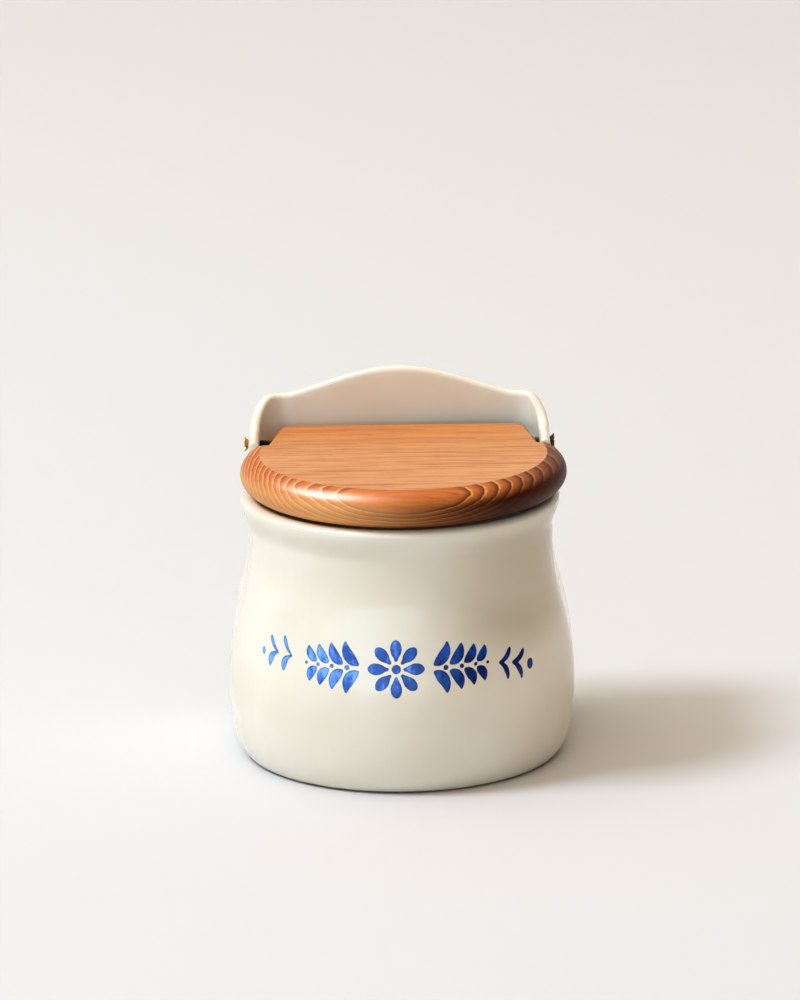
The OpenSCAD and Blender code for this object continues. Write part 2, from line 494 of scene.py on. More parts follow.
@dataclass(frozen=True)
class Stencil:
    """Blue stencilled band on the front: a blossom between two leafy branches and end sprigs.

    Distances along the wall are in millimetres from the middle of the front, heights in
    millimetres above the surface that the crock stands on.
    """

    middle: float = -2.4
    height: float = 53.0
    petals: int = 8
    petal_from: float = 3.6
    petal_to: float = 10.8
    petal_width: float = 4.6
    eye_width: float = 3.6
    pairs: int = 4
    pair_from: float = 15.5
    pair_step: float = 6.9
    leaf_length: float = 9.6
    leaf_shrink: float = 0.5
    leaf_width: float = 4.7
    leaf_lean: float = 58.0
    leaf_bend: float = -0.16
    stem_gap: float = 1.5
    closing: float = 0.04
    berry_out: float = 4.6
    berry_width: float = 2.0
    dot: float = 0.1
    far: float = 9.0

    def blossom(self) -> list[Stroke]:
        """Petals and eye of the blossom in the middle.

        Returns:
            Its strokes.
        """
        strokes = []
        for i in range(self.petals):
            turn = 2 * math.pi * i / self.petals
            reach = [(self.middle + r * math.cos(turn), self.height + r * math.sin(turn))
                     for r in (self.petal_from, self.petal_to)]
            strokes.append(Stroke(reach[0], reach[1], 0.0, self.petal_width, 0.62, 0.3))
        eye = (self.middle, self.height)
        strokes.append(Stroke(eye, (eye[0] + self.dot, eye[1]), 0.0, self.eye_width, 0.5, 1.0))
        return strokes

    def branch(self, side: Side) -> list[Stroke]:
        """Leaf pairs and berries of one branch, growing away from the blossom.

        Args:
            side: Side that the branch grows to.

        Returns:
            Its strokes.
        """
        strokes = []
        for i in range(self.pairs):
            size = 1 - self.leaf_shrink * i / self.pairs
            out = self.pair_from + self.pair_step * i * (1 - self.closing * i)
            root = self.middle + side.value * out
            for way in (-1, 1):
                lean = math.radians(self.leaf_lean)
                length = self.leaf_length * size
                foot = (root, self.height + way * self.stem_gap)
                tip = (root + side.value * length * math.cos(lean),
                       self.height + way * (self.stem_gap + length * math.sin(lean)))
                bend = self.leaf_bend * way * side.value
                strokes.append(Stroke(foot, tip, bend, self.leaf_width * size ** 0.5, 0.45, 0.22))
            berry = (root + side.value * self.berry_out, self.height)
            end = (berry[0] + self.dot, berry[1])
            strokes.append(Stroke(berry, end, 0.0, self.berry_width * size, 0.5, 1.0))
        return strokes

    def sprigs(self) -> list[Stroke]:
        """Small leaf sprigs and dots at both ends of the band.

        Returns:
            Their strokes.
        """
        return [
            Stroke((-60.1, 59.9), (-55.9, 54.4), -0.10, 1.9, 0.30, 0.35),
            Stroke((-55.9, 54.2), (-60.6, 48.4), -0.22, 2.9, 0.62, 0.25),
            Stroke((-52.1, 61.2), (-48.4, 54.6), -0.10, 1.9, 0.30, 0.35),
            Stroke((-48.2, 54.2), (-52.6, 47.9), -0.22, 2.9, 0.62, 0.25),
            Stroke((-65.0, 53.8), (-65.0, 52.6), 0.0, 2.0, 0.5, 0.9),
            Stroke((46.8, 56.4), (42.0, 51.9), 0.14, 2.3, 0.40, 0.6),
            Stroke((42.0, 51.7), (45.7, 45.2), 0.14, 2.3, 0.55, 0.5),
            Stroke((54.2, 54.4), (48.7, 50.8), 0.14, 2.4, 0.40, 0.6),
            Stroke((48.7, 50.6), (53.0, 44.2), 0.14, 2.4, 0.55, 0.5),
            Stroke((58.1, 48.9), (58.1, 47.9), 0.0, 3.4, 0.5, 0.95),
        ]

    def outline(self, along: Array, height: Array) -> Array:
        """Distance of each spot from the nearest stroke's outline, in millimetres.

        Args:
            along: Distances along the wall from the middle of the front.
            height: Heights of the spots.

        Returns:
            The distances, negative inside a stroke and held at far away from the band.
        """
        result = np.full(len(along), self.far)
        strokes = self.blossom() + self.sprigs() + self.branch(Side.LEFT) + self.branch(Side.RIGHT)
        for stroke in strokes:
            ends = np.array([stroke.start, stroke.end])
            low, high = ends.min(axis=0) - self.far / 2, ends.max(axis=0) + self.far / 2
            near = (along > low[0]) & (along < high[0]) & (height > low[1]) & (height < high[1])
            spots = np.stack([along[near], height[near]], axis=1)
            result[near] = np.minimum(result[near], stroke.distance(spots))
        return result


@dataclass(frozen=True)
class GlazeFinish:
    """Cream glaze over pale stoneware, with the stencil's blue painted under it and painted shade on the
    right of the waist and of the blue.

    Sizes, depths and spans are in millimetres. A span runs from where a thing starts to where it
    is full.
    """

    cream: Colour = srgb(234, 225, 208)
    warm: Colour = srgb(231, 220, 200)
    thin: Colour = srgb(226, 208, 184)
    # Painted shade: a darker warm tone laid over the right of the waist, where it falls in shade.
    thick: Colour = srgb(196, 180, 152)
    blue_light: Colour = srgb(126, 178, 240)
    blue_mid: Colour = srgb(20, 92, 186)
    blue_deep: Colour = srgb(4, 34, 104)
    drift_size: float = 42.0
    run_size: float = 3.2
    run_share: float = 0.07
    glaze_shade_share: float = 0.55
    glaze_shade_x: Pair = (2.0, 44.0)
    glaze_shade_foot_z: Pair = (48.0, 68.0)
    glaze_shade_rim_z: Pair = (108.0, 98.0)
    glaze_shade_y: Pair = (26.0, -8.0)
    blue_shade_x: Pair = (-52.0, 44.0)
    ragged_size: float = 2.1
    ragged: float = 0.44
    edge: float = 0.11
    wash_size: float = 4.2
    wash_gain: float = 2.2
    pool: Pair = (-0.75, -0.05)
    pool_share: float = 0.55
    cover: float = 0.985
    roughness: float = 0.10
    swell_size: float = 11.0
    swell_depth: float = 0.10
    dimple_size: float = 1.4
    dimple_depth: float = 0.004
    attribute: str = "stencil_distance"

    def ground(self, s: Shader) -> Socket:
        """Colours the bare glaze, with painted shade, a darker warm tone, at the right of the waist.

        Args:
            s: Shader that the nodes go into.

        Returns:
            The colour.
        """
        spot = s.place()
        x, y, z = s.axes(spot)
        drift = s.noise(spot, self.drift_size, 2.0)
        ground = s.mix(s.span(drift, 0.35, 0.7), self.cream, self.warm)
        runs = s.noise(s.place((1.0, 1.0, 0.06)), self.run_size, 2.0)
        ground = s.mix(s.span(runs, 0.45, 0.8, 0.0, self.run_share), ground, self.thin)
        # Painted shade at the right of the waist, faded out towards the foot, the rim and the back.
        painted_shade = s.span(x, *self.glaze_shade_x, 0.0, self.glaze_shade_share)
        for value, ends in ((z, self.glaze_shade_foot_z), (z, self.glaze_shade_rim_z), (y, self.glaze_shade_y)):
            painted_shade = s.math("MULTIPLY", painted_shade, s.span(value, *ends))
        return s.mix(painted_shade, ground, self.thick)

    def paint(self, s: Shader, ground: Socket) -> Socket:
        """Paints the stencil's blue, watery in its strokes, darker at their edges and darker towards the
        right as painted shade.

        Args:
            s: Shader that the nodes go into.
            ground: Colour under the blue.

        Returns:
            The painted colour.
        """
        distance = s.node("Attribute", attribute_name=self.attribute).outputs["Fac"]
        ragged = s.math("SUBTRACT", s.noise(s.place(), self.ragged_size, 4.0, 0.6), 0.5)
        distance = s.math("MULTIPLY_ADD", ragged, self.ragged, distance)
        inside = s.span(distance, self.edge, -self.edge)
        # Painted shade: the blue runs from light at the left to deep at the right, with a watery wash on
        # top.
        across = s.span(s.axes(s.place())[0], *self.blue_shade_x, smooth=False)
        wash = s.noise(s.place((1.0, 1.0, 0.6)), self.wash_size, 4.0, 0.62)
        tone = s.math("MULTIPLY_ADD", s.math("SUBTRACT", wash, 0.5), self.wash_gain, across, clamp=True)
        blue = s.ramp(tone, [(0.0, self.blue_light), (0.45, self.blue_mid), (1.0, self.blue_deep)])
        blue = s.mix(s.span(distance, *self.pool, 0.0, self.pool_share), blue, self.blue_deep)
        return s.mix(s.math("MULTIPLY", inside, self.cover), ground, blue)

    def dress(self) -> bpy.types.Material:
        """Builds the glaze.

        Returns:
            Its material.
        """
        s = Shader("cream_glaze")
        spot = s.place()
        colour = self.paint(s, self.ground(s))
        rough = s.span(s.noise(spot, 16.0, 2.0), 0.3, 0.7, self.roughness - 0.02, self.roughness + 0.04)
        normal = s.bump(s.noise(spot, self.swell_size, 1.0), self.swell_depth)
        normal = s.bump(s.noise(spot, self.dimple_size, 2.0), self.dimple_depth, normal)
        return s.done(colour, rough, normal, IOR=1.5)


@dataclass(frozen=True)
class ClayFinish:
    """Bare fired clay of the foot ring, which stands free of glaze."""

    clay: Colour = srgb(196, 168, 132)
    burnt: Colour = srgb(150, 116, 82)

    def dress(self) -> bpy.types.Material:
        """Builds the bare clay.

        Returns:
            Its material.
        """
        s = Shader("bare_clay")
        spot = s.place()
        grit = s.noise(spot, 0.8, 4.0, 0.7)
        colour = s.mix(s.span(s.noise(spot, 14.0, 3.0), 0.35, 0.7), self.clay, self.burnt)
        colour = s.mix(s.span(grit, 0.5, 0.75, 0.0, 0.5), colour, self.burnt)
        return s.done(colour, s.span(grit, 0.3, 0.7, 0.78, 0.95), s.bump(grit, 0.08))


@dataclass(frozen=True)
class CherryFinish:
    """Oiled cherry cut from one board, its growth rings passing through the whole lid, with painted light
    and shade on its rounded edge.

    Sizes and places are in millimetres. The spans named for facing are of the Z of the surface's
    direction, which is 1 on the flat top.
    """

    line: Colour = srgb(236, 170, 88)
    late: Colour = srgb(148, 68, 24)
    # Late wood in the painted shade on the right.
    late_shaded: Colour = srgb(84, 36, 10)
    body: Colour = srgb(196, 108, 34)
    early: Colour = srgb(206, 122, 50)
    plain: Colour = srgb(214, 160, 98)
    blush: Colour = srgb(212, 158, 116)
    # Painted shade of the lower nose towards the right.
    shade_brown: Colour = srgb(52, 16, 3)
    fleck: Colour = srgb(156, 76, 30)
    rear: Colour = srgb(200, 132, 62)
    # Painted light on the lower nose at the left.
    lit: Colour = srgb(250, 198, 136)
    pith_y: float = 83.0
    pith_z: float = -95.4
    bark_r: float = 256.8
    ring_gain: float = 8.2
    ring_start: float = 11.6
    ring_shift: float = 0.407
    left_from: float = 40.0
    left_gain: float = 0.009
    sway: float = 1.6
    ripple: float = 1.1
    flat_facing: Pair = (0.974, 0.984)
    down_facing: Pair = (0.92, 0.15)
    rings_on_nose: float = 0.92
    rings_on_flat: float = 0.08
    nose_shade_x: Pair = (-42.0, 60.0)
    rear_y: Pair = (-10.0, 48.0)
    rear_share: float = 0.75
    lit_x: Pair = (30.0, -30.0)
    lit_share: float = 0.52
    far_x: Pair = (34.0, 66.0)
    far_share: Pair = (0.14, 0.60)
    shade_gain: float = 0.86
    shade_most: float = 0.97
    fibre_size: float = 0.9
    streak_size: float = 2.1
    fleck_share: float = 0.42
    pore_size: float = 0.34
    pore_share: float = 0.5
    end_share: float = 0.15
    roughness: float = 0.32

    def grain(self, s: Shader, stretch: float, size: float, detail: float, rough: float = 0.55) -> Socket:
        """Adds noise drawn out along the grain, which runs along X.

        Args:
            s: Shader that the nodes go into.
            stretch: Factor along X, below 1 to draw the noise out.
            size: Size of the largest blotches across the grain.
            detail: Number of finer layers.
            rough: Strength of each finer layer.

        Returns:
            The noise from 0 to 1.
        """
        return s.noise(s.place((stretch, 1.0, 1.0)), size, detail, rough)

    def rings(self, s: Shader) -> Socket:
        """Works out the place within a year's growth.

        Args:
            s: Shader that the nodes go into.

        Returns:
            The share of the year, 0 at its pale first wood.
        """
        spot = s.place()
        under = s.math("SUBTRACT", self.bark_r, s.from_line(spot, self.pith_y, self.pith_z))
        for noise, gain in ((self.grain(s, 0.35, 30.0, 1.0), self.sway),
                            (self.grain(s, 0.4, 5.0, 2.0), self.ripple)):
            under = s.math("MULTIPLY_ADD", s.math("SUBTRACT", noise, 0.5), gain, under)
        under = s.math("MAXIMUM", under, 0.0)
        years = s.math("LOGARITHM", s.math("MULTIPLY_ADD", under, 1 / self.ring_start, 1.0), math.e)
        years = s.math("MULTIPLY_ADD", years, self.ring_gain, self.ring_shift)
        past = s.math("MULTIPLY_ADD", s.axes(spot)[0], -1.0, -self.left_from)
        past = s.math("MAXIMUM", past, 0.0)
        years = s.math("MULTIPLY_ADD", s.math("MULTIPLY", past, past), self.left_gain, years)
        return s.math("FRACT", years)

    def ringed(self, s: Shader, right: Socket) -> Socket:
        """Colours the growth rings, with late wood darkened towards the right as painted shade.

        Args:
            s: Shader that the nodes go into.
            right: Share of the painted shade towards the right-hand side.

        Returns:
            The colour.
        """
        year = self.rings(s)
        pale, dark = (s.ramp(year, [(0.0, late), (0.06, self.line), (0.15, self.line),
                                    (0.26, self.early), (0.58, self.body), (0.94, late)])
                      for late in (self.late, self.late_shaded))
        return s.mix(right, pale, dark)

    def dress(self) -> bpy.types.Material:
        """Builds the wood.

        Returns:
            Its material.
        """
        s = Shader("oiled_cherry")
        spot = s.place()
        x, y, _ = s.axes(spot)
        side, _, up = s.axes(s.node("TexCoord").outputs["Normal"])
        flat = s.span(s.math("ABSOLUTE", up), *self.flat_facing)
        down = s.span(up, *self.down_facing)
        # Share of the painted shade towards the right, for the rings and the lower nose.
        right = s.span(x, *self.nose_shade_x)

        plain = s.mix(self.grain(s, 0.10, 9.0, 3.0), self.blush, self.plain)
        plain = s.mix(s.span(y, *self.rear_y, 0.0, self.rear_share), plain, self.rear)
        share = s.math("MULTIPLY_ADD", flat, self.rings_on_flat - self.rings_on_nose, self.rings_on_nose)
        colour = s.mix(share, plain, self.ringed(s, right))
        fibre = self.grain(s, 0.05, self.fibre_size, 3.0, 0.65)
        colour = s.mix(s.span(fibre, 0.44, 0.70, 0.0, self.fleck_share), colour, self.fleck)
        streaks = self.grain(s, 0.035, self.streak_size, 4.0, 0.62)
        colour = s.mix(s.span(streaks, 0.52, 0.66, 0.0, self.fleck_share), colour, self.fleck)
        pores = s.span(self.grain(s, 0.10, self.pore_size, 1.0), 0.66, 0.76)
        colour = s.mix(s.math("MULTIPLY", pores, self.pore_share), colour, self.late)

        # Painted light: the down-facing nose is lightened towards the left.
        left = s.span(x, *self.lit_x, 0.0, self.lit_share)
        colour = s.mix(s.math("MULTIPLY", left, down), colour, self.lit)
        # Painted shade: the nose darkens towards the right, most where it faces down and at the far end,
        # and not on the flat faces.
        far = s.span(x, *self.far_x, *self.far_share)
        deep = s.math("MULTIPLY", right, s.math("MULTIPLY_ADD", down, self.shade_gain, far))
        deep = s.math("MULTIPLY", deep, s.math("SUBTRACT", 1.0, flat))
        colour = s.mix(s.math("MINIMUM", deep, self.shade_most), colour, self.shade_brown)
        end_grain = s.span(s.math("ABSOLUTE", side), 0.35, 0.95, 0.0, self.end_share)
        colour = s.mix(end_grain, colour, self.fleck)

        rough = s.math("MULTIPLY_ADD", fibre, 0.12, self.roughness)
        normal = s.bump(s.noise(spot, 24.0, 1.0), 0.10)
        normal = s.bump(fibre, 0.025, normal)
        normal = s.bump(s.math("SUBTRACT", 1.0, pores), 0.03, normal)
        return s.done(colour, rough, normal, IOR=1.5, Specular_IOR_Level=0.2)


@dataclass(frozen=True)
class BrassFinish:
    """Turned brass, with painted shade where the cheeks hide it and on the right-hand screw."""

    brass: Colour = srgb(196, 154, 84)
    dull: Colour = srgb(96, 68, 34)
    # Painted shade of the hidden shank and of the right-hand screw.
    brass_shade: Colour = srgb(44, 32, 20)
    clean_x: float = 61.0
    right_shade_x: Pair = (0.0, 60.0)
    right_shade_share: float = 0.6
    axis_y: float = 48.4
    axis_z: float = 118.0
    turning: float = 48.0

    def dress(self) -> bpy.types.Material:
        """Builds the brass.

        Returns:
            Its material.
        """
        s = Shader("turned_brass")
        spot = s.place()
        x = s.axes(spot)[0]
        cloud = s.noise(spot, 1.7, 3.0)
        colour = s.mix(s.span(cloud, 0.45, 0.75, 0.0, 0.75), self.brass, self.dull)
        # Painted shade where the cheeks hide the shank, which is also rougher there.
        hidden = s.span(s.math("ABSOLUTE", x), self.clean_x, self.clean_x - 1.0)
        colour = s.mix(hidden, colour, self.brass_shade)
        # Painted shade over the right-hand screw.
        colour = s.mix(s.span(x, *self.right_shade_x, 0.0, self.right_shade_share), colour, self.brass_shade)
        radius = s.from_line(spot, self.axis_y, self.axis_z)
        normal = s.bump(s.math("SINE", s.math("MULTIPLY", radius, self.turning)), 0.002)
        normal = s.bump(s.noise(spot, 0.5, 2.0), 0.008, normal)
        rough = s.math("MAXIMUM", s.span(cloud, 0.3, 0.75, 0.22, 0.5), s.math("MULTIPLY", hidden, 0.55))
        return s.done(colour, rough, normal, Metallic=1.0)


@dataclass(frozen=True)
class PaperFinish:
    """Matt pale paper of the floor and the backdrop."""

    paper: Colour = srgb(206, 205, 204)

    def dress(self) -> bpy.types.Material:
        """Builds the paper.

        Returns:
            Its material.
        """
        s = Shader("pale_paper")
        tooth = s.noise(s.place(), 1.2, 3.0)
        return s.done(self.paper, 0.85, s.bump(tooth, 0.01), Specular_IOR_Level=0.2)


@dataclass
class CrockPlan:
    """Places round the crock's rim, from the middle of the front and counter-clockwise.

    A place is on the round front at an angle, on a side at a share of its length, round a rear
    corner at an angle, or on the back at a share of its half width.
    """

    corner_r: float
    back_y: float
    cheek_y: float
    cheek_rise: float
    front_reach: float = 56.0
    front_fine: int = 114
    front_rest: int = 22
    side_front: int = 9
    rise_steps: int = 14
    side_rear: int = 13
    corner_steps: int = 16
    back_steps: int = 28
    kind: Array = field(init=False)
    share: Array = field(init=False)
    side: Array = field(init=False)

    def __post_init__(self) -> None:
        """Lays out the places of both halves."""
        side_y = self.back_y - self.corner_r
        rise_end = self.cheek_y + self.cheek_rise
        fine = np.linspace(-90, -90 + self.front_reach, self.front_fine, endpoint=False)
        rest = np.linspace(-90 + self.front_reach, 0, self.front_rest, endpoint=False)
        low = np.linspace(0, self.cheek_y, self.side_front, endpoint=False) / side_y
        rise = np.linspace(self.cheek_y, rise_end, self.rise_steps, endpoint=False) / side_y
        rear = np.linspace(rise_end, side_y, self.side_rear, endpoint=False) / side_y
        corner = np.linspace(0, 90, self.corner_steps, endpoint=False)
        back = np.linspace(1, 0, self.back_steps + 1)
        parts = [np.concatenate([fine, rest]), np.concatenate([low, rise, rear]), corner, back]
        kind = np.concatenate([np.full(len(part), i) for i, part in enumerate(parts)])
        share = np.concatenate(parts)
        self.kind = np.concatenate([kind, kind[-2:0:-1]])
        self.share = np.concatenate([share, share[-2:0:-1]])
        self.side = np.concatenate([np.ones(len(kind)), -np.ones(len(kind) - 2)])

    def ring(self, radius: Array | float, back: float, inset: Array | float,
             height: Array | float) -> Array:
        """Points round the plan.

        Args:
            radius: Radius of the front, which is also half the width.
            back: Distance from the middle of the round front to the back.
            inset: Distance by which the ring is drawn in.
            height: Height of the points.

        Returns:
            One point for each place.
        """
        radius, inset, height = (np.broadcast_to(v, self.kind.shape) for v in (radius, inset, height))
        turn, corner = np.radians(self.share), self.corner_r
        zones = [self.kind == 0, self.kind == 1, self.kind == 2]
        x = np.select(zones, [(radius - inset) * np.cos(turn), radius - inset,
                              radius - corner + (corner - inset) * np.cos(turn)],
                      self.share * (radius - corner))
        y = np.select(zones, [(radius - inset) * np.sin(turn), self.share * (back - corner),
                              back - corner + (corner - inset) * np.sin(turn)],
                      back - inset)
        return np.stack([self.side * x, y, height], axis=1)


@dataclass
class Crock:
    """The glazed crock with its cheeks and arched backboard.

    The bands give the top of each stretch of the outer wall and its number of rings. They are
    closest behind the stencil, and the first one is left unglazed.
    """

    belly_r: float
    back_y: float
    middle_y: float
    waist_r: float = 0.062
    corner_r: float = 0.015
    wall_t: float = 0.0044
    belly_z: float = 0.032
    waist_z: float = 0.088
    neck_z: float = 0.095
    foot_tuck: float = 0.011
    foot_full: float = 2.5
    foot_edge: float = 0.001
    back_tuck: float = 0.0035
    back_tuck_h: float = 0.008
    rim_z: float = 0.1087
    lip_out: float = 0.003
    floor_z: float = 0.006
    floor_round: float = 0.007
    foot_w: float = 0.009
    foot_recess: float = 0.0014
    foot_soft: float = 0.0006
    foot_slant: float = 1.6
    foot_in: float = 0.0002
    cheek_h: float = 0.0158
    cheek_y: float = 0.0165
    cheek_rise: float = 0.003
    shoulder_h: float = 0.0118
    sweep_len: float = 0.020
    sweep_start: float = 0.004
    crown_h: float = 0.0111
    arch_full: float = 0.6
    arch_half: float = 0.046
    axis_y: float = 0.042
    axis_z: float = 0.118
    bore_r: float = 0.00158
    crease: float = 50.0
    first_z: float = 0.0004
    bands: tuple[tuple[float, int], ...] = (
        (0.0009, 3), (0.008, 10), (0.038, 22), (0.066, 48), (0.088, 17))
    neck_rings: int = 27
    throat_rings: int = 22
    inside_rings: int = 30
    floor_rings: int = 10
    stencil: Stencil = field(default_factory=Stencil)
    plan: CrockPlan = field(init=False)

    @classmethod
    def from_frame(cls) -> "Crock":
        """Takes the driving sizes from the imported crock."""
        low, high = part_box("crock_body")
        belly_r = (high.x - low.x) / 2
        middle_y = low.y + belly_r
        return cls(belly_r=belly_r, back_y=high.y - middle_y, middle_y=middle_y)

    def __post_init__(self) -> None:
        """Lays out the plan's places."""
        self.plan = CrockPlan(self.corner_r, self.back_y, self.cheek_y, self.cheek_rise)

    def wall_radius(self, z: Array | float) -> Array:
        """Outer radius of the wall below the waist.

        Args:
            z: Heights.

        Returns:
            The radius at each height.
        """
        rise = self.belly_z + self.foot_edge
        drop = np.clip((self.belly_z - np.asarray(z)) / rise, 0, 1)
        foot = 1 - (1 - drop ** self.foot_full) ** (1 / self.foot_full)
        slope = ease((np.asarray(z) - self.belly_z) / (self.waist_z - self.belly_z))
        return self.belly_r - self.foot_tuck * foot + (self.waist_r - self.belly_r) * slope

    def back_tucked(self, z: float) -> float:
        """Distance of the back from the middle, tucked in near the foot."""
        drop = max(0.0, self.back_tuck_h - z) / (self.back_tuck_h + self.foot_edge)
        return self.back_y - self.back_tuck * (1 - math.sqrt(1 - drop * drop))

    def rim_height(self) -> Array:
        """Height of the rim at each place round the plan.

        Returns:
            The heights.
        """
        plan, side_y = self.plan, self.back_y - self.corner_r
        y = np.select([plan.kind == 1, plan.kind == 2],
                      [plan.share * side_y, side_y + self.corner_r * np.radians(plan.share)], 0.0)
        side = (self.rim_z + self.cheek_h * ease((y - self.cheek_y) / self.cheek_rise)
                + self.shoulder_h * ease((y - side_y + self.sweep_start) / self.sweep_len))
        out = plan.share * (self.waist_r - self.corner_r) / self.arch_half
        bow = self.arch_full * (1 - out * out) + (1 - self.arch_full) * ease(1 - out)
        back = self.rim_z + self.cheek_h + self.shoulder_h + self.crown_h * np.where(out < 1, bow, 0)
        return np.select([plan.kind == 0, plan.kind == 3], [np.full(len(y), self.rim_z), back], side)

    def lip_share(self) -> Array:
        """Share of the rolled lip at each place round the plan.

        Returns:
            The shares, 1 on the round front and 0 from the cheeks on.
        """
        plan, side_y = self.plan, self.back_y - self.corner_r
        side = 1 - ease(plan.share * side_y / self.cheek_y)
        return np.select([plan.kind == 0, plan.kind == 1], [np.ones(len(side)), side], 0.0)

    def underside(self) -> list[Array]:
        """Rings of the recess under the crock and of the foot ring, from the middle outwards.

        Returns:
            The rings.
        """
        radius, back = self.wall_radius(0.0), self.back_tucked(0.0)
        soft = self.foot_soft
        edge = self.plan.ring(radius, back, self.foot_w, self.foot_recess)
        mid = np.array([0, (self.back_y - self.corner_r) / 2, self.foot_recess])
        rings = [mid + (edge - mid) * share for share in (0.35, 0.7, 0.93)]
        rings.append(edge)
        rings.append(self.plan.ring(radius, back, self.foot_w, soft))
        for turn in np.radians((30, 60, 90)):
            inset = self.foot_w - soft * (1 - math.cos(turn))
            rings.append(self.plan.ring(radius, back, inset, soft * (1 - math.sin(turn))))
        rings.append(self.plan.ring(radius, back, self.foot_w / 2, 0.0))
        for turn in np.radians((0, 30, 60)):
            inset = self.foot_in + self.foot_slant * soft * (1 - math.sin(turn))
            rings.append(self.plan.ring(radius, back, inset, soft * (1 - math.cos(turn)) / 2))
        return rings

    def outside(self) -> list[Array]:
        """Rings up the outside, from the foot to the rim.

        Returns:
            The rings.
        """
        heights = [self.first_z]
        for top, count in self.bands:
            heights += list(np.linspace(heights[-1], top, count)[1:])
        rings = [self.plan.ring(self.wall_radius(z), self.back_tucked(z), 0.0, z) for z in heights]
        return rings + [self.neck(share) for share in np.linspace(0, 1, self.neck_rings)[1:]]

    def neck(self, share: float, inside: bool = False) -> Array:
        """Ring on the neck, part of the way from the waist to the rim's round.

        Args:
            share: Share of the way up.
            inside: Whether the ring is on the straight inner wall.

        Returns:
            The ring.
        """
        high = self.rim_height() - self.wall_t / 2
        z = self.waist_z + (high - self.waist_z) * share
        if inside:
            return self.plan.ring(self.waist_r, self.back_y, self.wall_t, z)
        out = self.lip_out * self.lip_share() * ease((z - self.neck_z) / (high - self.neck_z))
        return self.plan.ring(self.waist_r + out, self.back_y, 0.0, z)

    def rim(self, steps: int = 14) -> list[Array]:
        """Rings over the rounded rim, from the outside to the inside.

        Args:
            steps: Steps of the half turn.

        Returns:
            The rings.
        """
        half, out = self.wall_t / 2, self.lip_out * self.lip_share()
        return [self.plan.ring(self.waist_r + out, self.back_y, (half + out / 2) * (1 - math.cos(a)),
                               self.rim_height() - half * (1 - math.sin(a)))
                for a in np.linspace(0, math.pi, steps + 1)[1:-1]]

    def inside(self) -> list[Array]:
        """Rings down the inside, from the rim to the floor.

        Returns:
            The rings.
        """
        low = self.floor_z + self.floor_round
        rings = [self.neck(share, True) for share in np.linspace(1, 0, self.throat_rings)[:-1]]
        for z in np.linspace(self.waist_z, low, self.inside_rings)[:-1]:
            rings.append(self.plan.ring(self.wall_radius(z), self.back_tucked(z), self.wall_t, z))
        for turn in np.linspace(0, math.pi / 2, self.floor_rings):
            z = self.floor_z + self.floor_round * (1 - math.sin(turn))
            inset = self.wall_t + self.floor_round * (1 - math.cos(turn))
            rings.append(self.plan.ring(self.wall_radius(z), self.back_tucked(z), inset, z))
        mid = np.array([0, (self.back_y - self.corner_r) / 2, self.floor_z])
        edge = rings[-1]
        return rings + [mid + (edge - mid) * share for share in (0.9, 0.6, 0.3)]

    def build(self, glaze: GlazeFinish, clay: ClayFinish) -> bpy.types.Object:
        """Builds and dresses the crock.

        Args:
            glaze: Finish of the walls.
            clay: Finish of the foot ring.

        Returns:
            The crock's object.
        """
        under, outside = self.underside(), self.outside()
        rings = under + outside + self.rim() + self.inside()
        shift = np.array([0, self.middle_y, 0])
        mid_y = (self.back_y - self.corner_r) / 2 + self.middle_y
        points, faces = closed_grid([ring + shift for ring in rings],
                                    (0, mid_y, self.foot_recess), (0, mid_y, self.floor_z))
        crock = mesh_piece("crock_shell", points, faces, [glaze.dress(), clay.dress()])
        count = len(self.plan.kind)
        index = np.zeros(len(faces), int)
        index[:(len(under) + self.bands[0][1] - 1) * count] = 1
        index[-2 * count:-count] = 1
        crock.data.polygons.foreach_set("material_index", index.tolist())
        for side in Side:
            start = side.value * (self.waist_r - self.wall_t / 2) - self.wall_t
            cut(crock, rod("bore", self.bore_r,
                           (start, self.axis_y + self.middle_y, self.axis_z), 2 * self.wall_t))
        sharpen(crock, self.crease)
        self.paint(crock, glaze.attribute)
        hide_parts("crock_body")
        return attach(crock, Body.CROCK.value)

    def paint(self, crock: bpy.types.Object, name: str) -> None:
        """Writes the stencil's outline on the outside of the front wall.

        Args:
            crock: The crock's object.
            name: Name of the attribute that the glaze reads.
        """
        points = np.zeros(len(crock.data.vertices) * 3, np.float32)
        crock.data.vertices.foreach_get("co", points)
        points = points.reshape(-1, 3).astype(float)
        x, y = points[:, 0], points[:, 1] - self.middle_y
        radius = np.hypot(x, y)
        outside = (y < 0) & (np.abs(radius - self.wall_radius(points[:, 2])) < self.wall_t / 4)
        along = np.arctan2(x, -y) * radius / MM
        value = np.full(len(points), self.stencil.far)
        value[outside] = self.stencil.outline(along[outside], points[outside, 2] / MM)
        layer = crock.data.attributes.new(name, "FLOAT", "POINT")
        layer.data.foreach_set("value", value.astype(np.float32))


